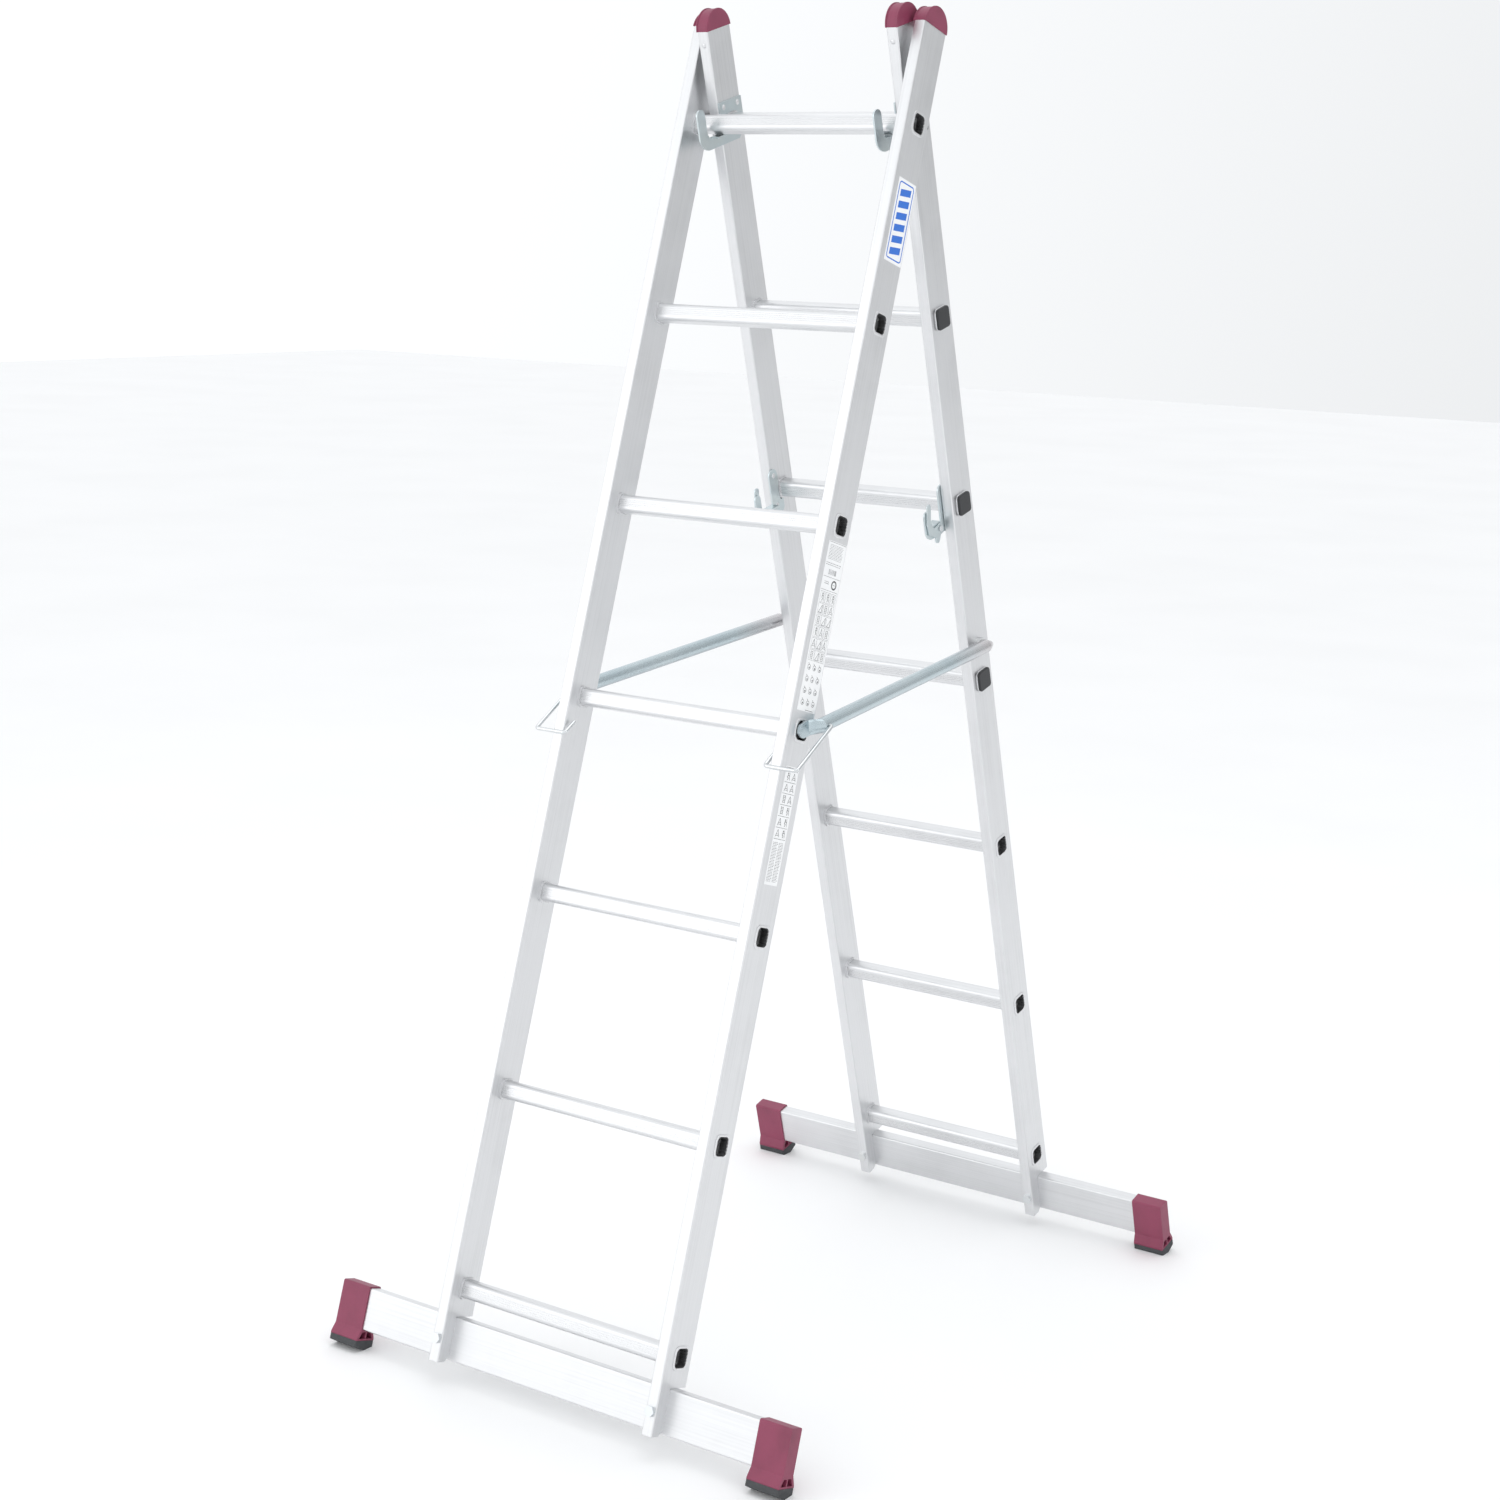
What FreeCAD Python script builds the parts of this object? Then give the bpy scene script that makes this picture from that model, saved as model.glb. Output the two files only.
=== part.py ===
import FreeCAD, Part
import math
import os

# Multi position ladder, standing as an A-frame. Millimetres, +Z up, +X along the rungs,
# +Y from the front section towards the rear section. The origin is on the floor, at the
# centre of the footprint.
#
# Each section is drawn in its own frame: x across, y through the depth of the stile and
# z up along the stile, with the axis of the lowest rung at zero. section_place() then
# leans it into the A-frame.

# ---- both sections
RUNGS = 7
RUNG_PITCH = 280.0
RUNG_SIZE = 25.0
RUNG_CORNER = 6.5
RUNG_WALL = 1.6
RIB_COUNT = 4
RIB_PITCH = 2.8
RIB_WIDTH = 1.2
RIB_DEPTH = 0.4
FLARE_SIZE = 29.0
FLARE_CORNER = 8.0
FLARE_WALL = 1.5
MOUTH_DEPTH = 13.0
MOUTH_TAPER = 6.0
MOUTH_RIB_PITCH = 4.4
MOUTH_RIB_HEIGHT = 0.9
LIP_SIZE = 32.5
LIP_CORNER = 9.0
LIP_THICK = 1.2
LIP_ROUND = 0.7
BEAD_SIZE = 30.0
BEAD_CORNER = 8.5
BEAD_THICK = 3.0
STILE_WIDTH = 17.5
STILE_WALL = 1.6
STILE_CORNER = 2.0
STILE_BOTTOM = -102.0
STILE_TOP = 1815.0
NOTCH_FRONT = 22.0
FIT_GAP = 0.05

# ---- front (outer) and rear (inner) section
FRONT_WIDTH = 390.0
FRONT_DEPTH = 58.0
FRONT_FACE = -32.5
FRONT_LEAN = 16.7
REAR_WIDTH = 336.0
REAR_DEPTH = 56.0
REAR_FACE = -28.0
REAR_LEAN = 16.0

# ---- how the sections stand: rear top rung axis measured from the front top rung axis
HOOK_REACH = 44.0
FRONT_Y = -492.604

# ---- base bar, feet and soles
BAR_LENGTH = 772.0
BAR_HEIGHT = 60.0
BAR_THICK = 20.0
BAR_WALL = 1.8
BAR_TOP = -40.0
BAR_BOLT_Z = -70.0
FOOT_INNER_X = 340.0
FOOT_OUTER_X = 390.0
FOOT_WALL = 2.0
FOOT_TOP = -38.0
FOOT_FLARE_Z = -99.0
FOOT_BASE_Z = -115.0
FOOT_HALF = 18.0
SOLE_HALF = 18.6
SOLE_TIP_Z = -129.0
CELL_DEPTH = 14.0

# ---- fasteners
BOLT_R = 4.0
BOLT_HEAD_AF = 13.0
BOLT_HEAD_H = 5.0
NUT_H = 6.5
RIVET_R = 2.0
RIVET_HEAD_R = 4.0
RIVET_HEAD_H = 1.8
CAP_RIVET_Z = 1796.0
CAP_RIM = 0.9
PLUG_SIZE = 30.5
PLUG_THICK = 4.0

# ---- hooks (on the inner faces of the rear stiles) and latches
HOOK_THICK = 2.5
CRADLE_GAP = 15.6
TOP_HOOK_RIVETS = ((-17.0, 25.0), (17.0, 25.0))
MID_HOOK_RUNG = 4
MID_HOOK_RIVETS = ((-23.5, 26.0), (-23.5, -21.0))
MID_HOOK_FRONT = -35.0
MID_FINGER_Y = -70.5
MID_FINGER_R = 7.0
LATCH_PIVOT = (-42.5, -24.5)
LATCH_THICK = 2.0
LATCH_PIN_R = 2.5

# ---- braces and wire bails
BRACE_R = 10.0
BRACE_WALL = 1.5
BRACE_PIVOT = (0.0, 898.5)
BRACE_PIVOT_X = 186.0
BRACE_END = 12.0
END_TAPER = 22.0
END_TIP = (-4.5, -2.5)
END_TIP_R = 5.0
BRACE_PLUG = 12.0
BRACE_NOSE = (-2.0, 842.0)
BRACE_NOSE_X = 211.0
NOSE_INNER_X = 197.2
NOSE_THICK = 4.0
NOSE_WIDTH = 22.0
NOSE_TIP = (2.0, -1.0)
NOSE_TIP_R = 10.5
NOSE_FLAT = 9.0
NOSE_TAPER = 24.0
PIVOT_BOSS_R = 9.0
PIVOT_PIN_R = 4.0
BAIL_EYE = 32.0
BAIL_R = 2.8
BAIL_BEND = 4.0
BAIL_HEAD_R = 4.0
BAIL_OUTER_X = 223.5
BAIL_INNER_X = 171.3
BAIL_TAIL = 24.0
BAIL_REST_GAP = 0.4
BAIL_REACH = 94.7

# ---- labels on the outer face of the front right stile: (bottom, top, front edge, rear edge)
LABEL_THICK = 0.3
BADGE_LABEL = (1485.0, 1600.0, -21.0, 23.0)
GUIDE_LABEL = (866.0, 1097.0, -21.0, 23.0)
STRIP_LABEL = (630.0, 790.0, -19.5, 11.5)

V = FreeCAD.Vector
X_AXIS = V(1, 0, 0)
Y_AXIS = V(0, 1, 0)
Z_AXIS = V(0, 0, 1)

sin_f = math.sin(math.radians(FRONT_LEAN))
cos_f = math.cos(math.radians(FRONT_LEAN))
sin_r = math.sin(math.radians(REAR_LEAN))
cos_r = math.cos(math.radians(REAR_LEAN))

front_bar_y = FRONT_FACE + NOTCH_FRONT + BAR_THICK / 2
rear_bar_y = REAR_FACE + NOTCH_FRONT + BAR_THICK / 2
top_rung_z = (RUNGS - 1) * RUNG_PITCH

front_z = -SOLE_TIP_Z * cos_f + front_bar_y * sin_f
rear_z = -SOLE_TIP_Z * cos_r - rear_bar_y * sin_r
rear_y = FRONT_Y + HOOK_REACH + top_rung_z * (sin_f + sin_r)


# ---------------------------------------------------------------- placing and writing
def front_point(y, z):
    """World Y and Z of a point of the front section."""
    return FRONT_Y + z * sin_f + y * cos_f, front_z + z * cos_f - y * sin_f


def rear_point(y, z):
    """World Y and Z of a point of the rear section."""
    return rear_y - z * sin_r + y * cos_r, rear_z + z * cos_r + y * sin_r


def section_place(shape, section):
    """Lean a section's shape and stand it on the floor."""
    placed = shape.copy()
    if section == "front":
        placed.rotate(V(0, 0, 0), X_AXIS, -FRONT_LEAN)
        placed.translate(V(0, FRONT_Y, front_z))
    else:
        placed.rotate(V(0, 0, 0), X_AXIS, REAR_LEAN)
        placed.translate(V(0, rear_y, rear_z))
    return placed


def write(name, shape, section=None):
    placed = section_place(shape, section) if section else shape
    placed.exportStep("parts/" + name + ".step")


def mirrored(shape):
    """The same piece on the other side of the ladder."""
    return shape.mirror(V(0, 0, 0), X_AXIS)


def both_sides(shape):
    return Part.makeCompound([shape, mirrored(shape)])


# ---------------------------------------------------------------- basic solids
def block(x0, x1, y0, y1, z0, z1):
    return Part.makeBox(x1 - x0, y1 - y0, z1 - z0, V(x0, y0, z0))


def rod(radius, x0, x1, y, z):
    """Round bar along X."""
    return Part.makeCylinder(radius, x1 - x0, V(x0, y, z), X_AXIS)


def rounded_face(half_a, half_b, corner):
    """Rounded rectangle in the XY plane, centred on the origin."""
    a, b, r = half_a, half_b, corner
    k = r * (1 - math.sqrt(0.5))
    lines = [
        Part.LineSegment(V(-a + r, -b, 0), V(a - r, -b, 0)),
        Part.Arc(V(a - r, -b, 0), V(a - k, -b + k, 0), V(a, -b + r, 0)),
        Part.LineSegment(V(a, -b + r, 0), V(a, b - r, 0)),
        Part.Arc(V(a, b - r, 0), V(a - k, b - k, 0), V(a - r, b, 0)),
        Part.LineSegment(V(a - r, b, 0), V(-a + r, b, 0)),
        Part.Arc(V(-a + r, b, 0), V(-a + k, b - k, 0), V(-a, b - r, 0)),
        Part.LineSegment(V(-a, b - r, 0), V(-a, -b + r, 0)),
        Part.Arc(V(-a, -b + r, 0), V(-a + k, -b + k, 0), V(-a + r, -b, 0)),
    ]
    return Part.Face(Part.Wire([line.toShape() for line in lines]))


def upright(x0, x1, y0, y1, z0, z1, corner):
    """Rounded rectangular bar along Z."""
    face = rounded_face((x1 - x0) / 2, (y1 - y0) / 2, corner)
    face.translate(V((x0 + x1) / 2, (y0 + y1) / 2, z0))
    return face.extrude(V(0, 0, z1 - z0))


def cross_face(x, y, z, size_y, size_z, corner):
    """Rounded rectangle square to X, centred on y, z."""
    face = rounded_face(size_z / 2, size_y / 2, corner)
    face.rotate(V(0, 0, 0), Y_AXIS, 90)
    face.translate(V(x, y, z))
    return face


def crossbar(x0, x1, y, z, size_y, size_z, corner):
    """Rounded rectangular bar along X, centred on y, z."""
    return cross_face(x0, y, z, size_y, size_z, corner).extrude(V(x1 - x0, 0, 0))


def profile_bar(points, x0, x1):
    """Polygon given as (y, z) points, drawn out along X."""
    corners = [V(x0, y, z) for y, z in points]
    face = Part.Face(Part.makePolygon(corners + corners[:1]))
    return face.extrude(V(x1 - x0, 0, 0))


def hexagon(across_flats, y0, y1, x, z):
    """Hexagonal head along Y."""
    radius = across_flats / math.sqrt(3)
    angles = [math.radians(60 * i) for i in range(7)]
    corners = [V(x + radius * math.cos(a), y0, z + radius * math.sin(a)) for a in angles]
    return Part.Face(Part.makePolygon(corners)).extrude(V(0, y1 - y0, 0))


def dome(radius, height, base, direction):
    """Low rivet head standing on a face."""
    ball_r = (radius * radius + height * height) / (2 * height)
    centre = base - direction * (ball_r - height)
    ball = Part.makeSphere(ball_r, centre)
    return ball.common(Part.makeCylinder(radius, height, base, direction))


def tangent_point(point, centre, radius, side):
    """Where a line from a (y, z) point touches a circle; side 1 is the upper one."""
    dy = point[0] - centre[0]
    dz = point[1] - centre[1]
    angle = math.atan2(dz, dy) + side * math.acos(radius / math.hypot(dy, dz))
    return centre[0] + radius * math.cos(angle), centre[1] + radius * math.sin(angle)


def rung_z(index):
    return index * RUNG_PITCH


# ---------------------------------------------------------------- stiles, rungs, bars
def bolt_x(width):
    return width / 2 - STILE_WIDTH / 2


def stile(width, face_y, depth):
    """Right-hand stile: a box extrusion, notched at the foot for the base bar."""
    x1 = width / 2
    x0 = x1 - STILE_WIDTH
    y0 = face_y
    y1 = face_y + depth
    w = STILE_WALL
    body = upright(x0, x1, y0, y1, STILE_BOTTOM, STILE_TOP, STILE_CORNER)
    core = upright(x0 + w, x1 - w, y0 + w, y1 - w, STILE_BOTTOM - 1, STILE_TOP + 1, 0.6)
    body = body.cut(core)
    hole = FLARE_SIZE + 2 * FIT_GAP
    for index in range(RUNGS):
        body = body.cut(crossbar(x0 - 1, x1 + 1, 0, rung_z(index), hole, hole, FLARE_CORNER))
    notch_y = face_y + NOTCH_FRONT
    body = body.cut(block(x0 - 1, x1 + 1, notch_y, y1 + 1, STILE_BOTTOM - 1, BAR_TOP + 0.1))
    heel = profile_bar([(notch_y - 8, STILE_BOTTOM), (notch_y, STILE_BOTTOM),
                        (notch_y, STILE_BOTTOM + 7)], x0 - 1, x1 + 1)
    body = body.cut(heel)
    mid_x = (x0 + x1) / 2
    bolt_hole = Part.makeCylinder(BOLT_R + 0.1, 6, V(mid_x, y0 - 2, BAR_BOLT_Z), Y_AXIS)
    rivet_hole = Part.makeCylinder(RIVET_R, 6, V(mid_x, y0 - 2, CAP_RIVET_Z), Y_AXIS)
    return body.cut(bolt_hole).cut(rivet_hole)


def rear_stile():
    """Rear right-hand stile, drilled for the hook rivets and the brace pivot."""
    body = stile(REAR_WIDTH, REAR_FACE, REAR_DEPTH)
    inner = REAR_WIDTH / 2 - STILE_WIDTH
    for rung, rivets in ((RUNGS - 1, TOP_HOOK_RIVETS), (MID_HOOK_RUNG, MID_HOOK_RIVETS)):
        for y, z in rivets:
            body = body.cut(rod(RIVET_R, inner - 1, inner + 4, y, rung_z(rung) + z))
    outer = REAR_WIDTH / 2
    pivot_y, pivot_z = BRACE_PIVOT
    return body.cut(rod(PIVOT_PIN_R, outer - 4, outer + 1, pivot_y, pivot_z))


def rung_end(width, z):
    """Right-hand end of a rung: bead, flared part through the stile, and lip."""
    half = width / 2
    inner = half - STILE_WIDTH
    bead = crossbar(inner - BEAD_THICK, inner, 0, z, BEAD_SIZE, BEAD_SIZE, BEAD_CORNER)
    flare = crossbar(inner, half, 0, z, FLARE_SIZE, FLARE_SIZE, FLARE_CORNER)
    lip = crossbar(half, half + LIP_THICK, 0, z, LIP_SIZE, LIP_SIZE, LIP_CORNER)
    rim = [e for e in lip.Edges if e.CenterOfMass.x > half + LIP_THICK - 0.01]
    return bead.fuse(flare).fuse(lip.makeFillet(LIP_ROUND, rim))


def rung_mouth(width, z):
    """Opening in the right-hand end of a rung: ribbed inside, narrowing to the bore."""
    reach = width / 2 + LIP_THICK
    floor_x = reach - MOUTH_DEPTH
    wide = FLARE_SIZE - 2 * FLARE_WALL
    bore = RUNG_SIZE - 2 * RUNG_WALL
    opening = crossbar(floor_x, reach + 1, 0, z, wide, wide, FLARE_CORNER - FLARE_WALL)
    first = -(RIB_COUNT - 1) / 2 * MOUTH_RIB_PITCH
    for index in range(RIB_COUNT):
        rib_z = z + first + index * MOUTH_RIB_PITCH
        for side in (-1, 1):
            ys = sorted((side * (wide / 2 - MOUTH_RIB_HEIGHT), side * (wide / 2 + 1)))
            opening = opening.cut(block(floor_x - 1, reach - LIP_THICK, ys[0], ys[1],
                                        rib_z - RIB_WIDTH / 2, rib_z + RIB_WIDTH / 2))
    large = cross_face(floor_x, 0, z, wide, wide, FLARE_CORNER - FLARE_WALL)
    small = cross_face(floor_x - MOUTH_TAPER, 0, z, bore, bore, RUNG_CORNER - RUNG_WALL)
    return opening.fuse(Part.makeLoft([large.OuterWire, small.OuterWire], True))


def rung(width, z):
    """Square tube, ribbed front and back, with a flared and lipped end at each stile."""
    end = width / 2 - STILE_WIDTH
    size = RUNG_SIZE
    tube = crossbar(-end, end, 0, z, size, size, RUNG_CORNER)
    ribbed = end - BEAD_THICK - 2
    first = -(RIB_COUNT - 1) / 2 * RIB_PITCH
    for index in range(RIB_COUNT):
        groove_z = z + first + index * RIB_PITCH
        for side in (-1, 1):
            ys = sorted((side * size / 2, side * (size / 2 - RIB_DEPTH)))
            groove = block(-ribbed, ribbed, ys[0], ys[1], groove_z - RIB_WIDTH / 2,
                           groove_z + RIB_WIDTH / 2)
            tube = tube.cut(groove)
    right_end = rung_end(width, z)
    mouth = rung_mouth(width, z)
    bore = size - 2 * RUNG_WALL
    core = crossbar(-end - 1, end + 1, 0, z, bore, bore, RUNG_CORNER - RUNG_WALL)
    tube = tube.fuse(right_end).fuse(mirrored(right_end))
    return tube.cut(core).cut(mouth).cut(mirrored(mouth)).removeSplitter()


def base_bar(width, bar_y):
    """Rectangular tube across the foot of a section."""
    half = BAR_LENGTH / 2
    mid_z = BAR_TOP - BAR_HEIGHT / 2
    w = BAR_WALL
    tube = crossbar(-half, half, bar_y, mid_z, BAR_THICK, BAR_HEIGHT, 2.5)
    core = crossbar(-half - 1, half + 1, bar_y, mid_z, BAR_THICK - 2 * w, BAR_HEIGHT - 2 * w, 1.0)
    tube = tube.cut(core)
    x = bolt_x(width)
    for side in (-1, 1):
        start = V(side * x, bar_y - BAR_THICK, BAR_BOLT_Z)
        tube = tube.cut(Part.makeCylinder(BOLT_R + 0.1, 2 * BAR_THICK, start, Y_AXIS))
    return tube


def bar_bolt(width, face_y, bar_y):
    x = bolt_x(width)
    shank_end = bar_y + BAR_THICK / 2 + NUT_H + 2
    shank = Part.makeCylinder(BOLT_R, shank_end - face_y, V(x, face_y, BAR_BOLT_Z), Y_AXIS)
    return shank.fuse(hexagon(BOLT_HEAD_AF, face_y - BOLT_HEAD_H, face_y, x, BAR_BOLT_Z))


def bar_nut(width, bar_y):
    x = bolt_x(width)
    y0 = bar_y + BAR_THICK / 2
    nut = hexagon(BOLT_HEAD_AF, y0, y0 + NUT_H, x, BAR_BOLT_Z)
    bore = Part.makeCylinder(BOLT_R + FIT_GAP, NUT_H + 2, V(x, y0 - 1, BAR_BOLT_Z), Y_AXIS)
    return nut.cut(bore)


# ---------------------------------------------------------------- plastic pieces
def foot_cap(bar_y):
    """Moulded end cap: a sleeve over the bar that flares to a hollow base."""
    wide = BAR_THICK / 2 + FOOT_WALL
    outline = [(bar_y - wide, FOOT_TOP), (bar_y + wide, FOOT_TOP), (bar_y + wide, FOOT_FLARE_Z),
               (bar_y + FOOT_HALF, FOOT_BASE_Z + 3), (bar_y + FOOT_HALF, FOOT_BASE_Z),
               (bar_y - FOOT_HALF, FOOT_BASE_Z), (bar_y - FOOT_HALF, FOOT_BASE_Z + 3),
               (bar_y - wide, FOOT_FLARE_Z)]
    cap = profile_bar(outline, FOOT_INNER_X, FOOT_OUTER_X)
    edges = [e for e in cap.Edges if e.CenterOfMass.z > FOOT_TOP - 0.01 and e.Length > 30]
    cap = cap.makeFillet(3.0, edges)
    mid_z = BAR_TOP - BAR_HEIGHT / 2
    gap = 2 * FIT_GAP
    sleeve = crossbar(FOOT_INNER_X - 1, BAR_LENGTH / 2 + FIT_GAP, bar_y, mid_z,
                      BAR_THICK + gap, BAR_HEIGHT + gap, 2.5)
    cap = cap.cut(sleeve)
    for side in (-1, 1):
        cell = [(bar_y + side * 1.2, -103.0), (bar_y + side * 8.5, -103.0),
                (bar_y + side * 14.0, -112.5), (bar_y + side * 1.2, -112.5)]
        cap = cap.cut(profile_bar(cell, FOOT_INNER_X - 1, FOOT_INNER_X + CELL_DEPTH))
        cap = cap.cut(profile_bar(cell, FOOT_OUTER_X - CELL_DEPTH, FOOT_OUTER_X + 1))
    return cap


def sole(bar_y, lean):
    """Rubber sole with two treads; the one that meets the floor is level when it leans."""
    rise = SOLE_HALF * math.tan(math.radians(lean))
    outline = [(bar_y - SOLE_HALF, FOOT_BASE_Z), (bar_y + SOLE_HALF, FOOT_BASE_Z),
               (bar_y + SOLE_HALF, SOLE_TIP_Z + rise), (bar_y, SOLE_TIP_Z),
               (bar_y - SOLE_HALF, SOLE_TIP_Z + rise)]
    tread = profile_bar(outline, FOOT_INNER_X - 0.6, FOOT_OUTER_X + 0.6)
    upright_edges = [e for e in tread.Edges
                     if abs(abs(e.CenterOfMass.y - bar_y) - SOLE_HALF) < 0.01
                     and e.Length < 15]
    return tread.makeFillet(2.5, upright_edges)


def top_cap(width, face_y, depth):
    """Half-round stile cap with a raised rim and a plug that sits inside the stile."""
    x1 = width / 2
    x0 = x1 - STILE_WIDTH
    mid_y = face_y + depth / 2
    radius = depth / 2
    w = STILE_WALL + 0.1
    above = block(x0 - 2, x1 + 2, mid_y - depth, mid_y + depth, STILE_TOP, STILE_TOP + 60)
    cap = rod(radius, x0, x1, mid_y, STILE_TOP - 1)
    for side_x in (x0, x1):
        rim = rod(radius + CAP_RIM, side_x - CAP_RIM, side_x + CAP_RIM, mid_y, STILE_TOP - 1)
        cap = cap.fuse(rim)
    cap = cap.common(above)
    plug = upright(x0 + w, x1 - w, face_y + w, face_y + depth - w, STILE_TOP - 30, STILE_TOP, 1.0)
    cap = cap.fuse(plug)
    start = V((x0 + x1) / 2, face_y - 2, CAP_RIVET_Z)
    return cap.cut(Part.makeCylinder(RIVET_R, 12, start, Y_AXIS))


def cap_rivet(width, face_y):
    base = V(bolt_x(width), face_y, CAP_RIVET_Z)
    shank = Part.makeCylinder(RIVET_R, 9, base, Y_AXIS)
    return shank.fuse(dome(RIVET_HEAD_R, RIVET_HEAD_H, base, V(0, -1, 0)))


def rung_plug(z):
    """Square push-in plug at the right-hand end of a rear rung."""
    face_x = REAR_WIDTH / 2 + LIP_THICK
    outer_x = face_x + PLUG_THICK
    head = crossbar(face_x, outer_x, 0, z, PLUG_SIZE, PLUG_SIZE, 5.0)
    head = head.makeChamfer(1.0, [e for e in head.Edges if e.CenterOfMass.x > outer_x - 0.1])
    bore = RUNG_SIZE - 2 * RUNG_WALL - 2 * FIT_GAP
    stem = crossbar(face_x - 24, face_x, 0, z, bore, bore, RUNG_CORNER - RUNG_WALL)
    return head.fuse(stem)


def label(extent):
    z0, z1, y0, y1 = extent
    x = FRONT_WIDTH / 2
    return block(x, x + LABEL_THICK, y0, y1, z0, z1)


# ---------------------------------------------------------------- hooks and latches
def plate_x():
    """Inner and outer X of a hook plate on the inner face of the rear right stile."""
    outer = REAR_WIDTH / 2 - STILE_WIDTH
    return outer - HOOK_THICK, outer


def rung_window(x0, x1, z):
    size = BEAD_SIZE + 0.6
    return crossbar(x0 - 1, x1 + 1, 0, z, size, size, BEAD_CORNER)


def hook_rivet(y, z):
    x0, x1 = plate_x()
    shank = rod(RIVET_R, x0, x1 + STILE_WALL + 2, y, z)
    return shank.fuse(dome(RIVET_HEAD_R, RIVET_HEAD_H, V(x0, y, z), V(-1, 0, 0)))


def top_hook():
    """J-shaped plate that carries the front section's top rung."""
    x0, x1 = plate_x()
    z = top_rung_z
    reach_y, lift_z = front_rung_in_rear()
    seat_z = lift_z - CRADLE_GAP
    plate = block(x0, x1, -27.5, 27.0, z - 26, z + 33)
    plate = plate.cut(profile_bar([(10, z - 27), (28, z - 27), (28, z - 10)], x0 - 1, x1 + 1))
    lower = block(x0, x1, -62, -20, z - 26, seat_z)
    corner = rod(21.0, x0, x1, -62.0, z - 5).common(block(x0, x1, -90, -62, z - 26, z - 5))
    finger = block(x0, x1, -83, -64, z - 5, z + 25).fuse(rod(9.5, x0, x1, -73.5, z + 25))
    plate = plate.fuse(lower).fuse(corner).fuse(finger)
    plate = plate.fuse(block(x0, x1, -64.1, -62, z - 20, seat_z))
    plate = plate.cut(rung_window(x0, x1, z))
    tab = block(x0 - 12, x0 + 0.5, reach_y - 11, reach_y + 13, seat_z - HOOK_THICK, seat_z)
    plate = plate.fuse(tab)
    for y, rise in TOP_HOOK_RIVETS:
        plate = plate.cut(rod(RIVET_R, x0 - 1, x1 + 1, y, z + rise))
    return plate.removeSplitter()


def mid_hook():
    """Open J-shaped plate that catches a rung when the sections are used side by side."""
    x0, x1 = plate_x()
    z = rung_z(MID_HOOK_RUNG)
    seat_z = z - 15.5
    strap_y, strap_z = MID_HOOK_RIVETS[0]
    plate = block(x0, x1, MID_HOOK_FRONT, strap_y + 10, z - 34, z + strap_z)
    plate = plate.fuse(rod(10.5, x0, x1, strap_y - 1, z + strap_z))
    plate = plate.fuse(block(x0, x1, MID_HOOK_FRONT, -12.0, z - 34, z - 15))
    plate = plate.fuse(block(x0, x1, -13.0, -6.0, z - 27, z - 15))
    plate = plate.fuse(rod(7.0, x0, x1, -13.0, z - 27))
    heel_y = -62.5
    rim_y = MID_FINGER_Y - MID_FINGER_R
    lower = block(x0, x1, heel_y, -20, z - 34, seat_z)
    corner = rod(15.0, x0, x1, heel_y, z - 19).common(block(x0, x1, rim_y, heel_y, z - 34, z - 19))
    finger = block(x0, x1, rim_y, MID_FINGER_Y + MID_FINGER_R, z - 19, z + 3.6)
    finger = finger.fuse(rod(MID_FINGER_R, x0, x1, MID_FINGER_Y, z + 3.6))
    plate = plate.fuse(lower).fuse(corner).fuse(finger)
    plate = plate.fuse(block(x0, x1, heel_y - 1.1, heel_y, z - 30, seat_z))
    plate = plate.cut(rung_window(x0, x1, z))
    tab = block(x0 - 12, x0 + 0.5, -58, -36, seat_z - HOOK_THICK, seat_z)
    plate = plate.fuse(tab)
    for y, rise in MID_HOOK_RIVETS:
        plate = plate.cut(rod(RIVET_R, x0 - 1, x1 + 1, y, z + rise))
    pivot_y, pivot_z = LATCH_PIVOT
    return plate.cut(rod(LATCH_PIN_R, x0 - 1, x1 + 1, pivot_y, z + pivot_z)).removeSplitter()


def latch():
    """Swinging tongue beside the mid hook; its tail hangs below the pivot."""
    x0 = plate_x()[1] + 0.4
    x1 = x0 + LATCH_THICK
    z = rung_z(MID_HOOK_RUNG)
    pivot_y, pivot_z = LATCH_PIVOT
    arm = profile_bar([(-38, z - 17), (-38, z - 33), (-58, z - 33), (-73, z - 24),
                       (-75.5, z - 8), (-71, z + 15.5), (-61, z + 15.5), (-65.5, z - 8),
                       (-59, z - 19)], x0, x1)
    tip = rod(5.0, x0, x1, -66.0, z + 15.5)
    boss = rod(8.0, x0, x1, pivot_y, z + pivot_z)
    tail = profile_bar([(-37, z - 25), (-46.2, z - 39), (-57.8, z - 36), (-52, z - 24)], x0, x1)
    tail_end = rod(6.0, x0, x1, -52.0, z - 37.5)
    tongue = arm.fuse(tip).fuse(boss).fuse(tail).fuse(tail_end)
    hole = rod(LATCH_PIN_R + 0.3, x0 - 1, x1 + 1, pivot_y, z + pivot_z)
    return tongue.cut(hole).removeSplitter()


def latch_pin():
    """Headed pin fixed in the mid hook; the latch turns on it."""
    x0, x1 = plate_x()
    pivot_y, pivot_z = LATCH_PIVOT
    z = rung_z(MID_HOOK_RUNG) + pivot_z
    head_x = x1 + 0.4 + LATCH_THICK + 0.4
    shank = rod(LATCH_PIN_R, x0, head_x, pivot_y, z)
    inner = rod(LATCH_PIN_R + 2, x0 - 1.5, x0, pivot_y, z)
    return shank.fuse(inner).fuse(rod(LATCH_PIN_R + 2, head_x, head_x + 1.5, pivot_y, z))


# ---------------------------------------------------------------- braces and bails
def front_rung_in_rear():
    """Front top rung axis, in the rear section's frame."""
    y, z = front_point(0, top_rung_z)
    dy, dz = y - rear_y, z - rear_z
    return dy * cos_r + dz * sin_r, -dy * sin_r + dz * cos_r


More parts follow.
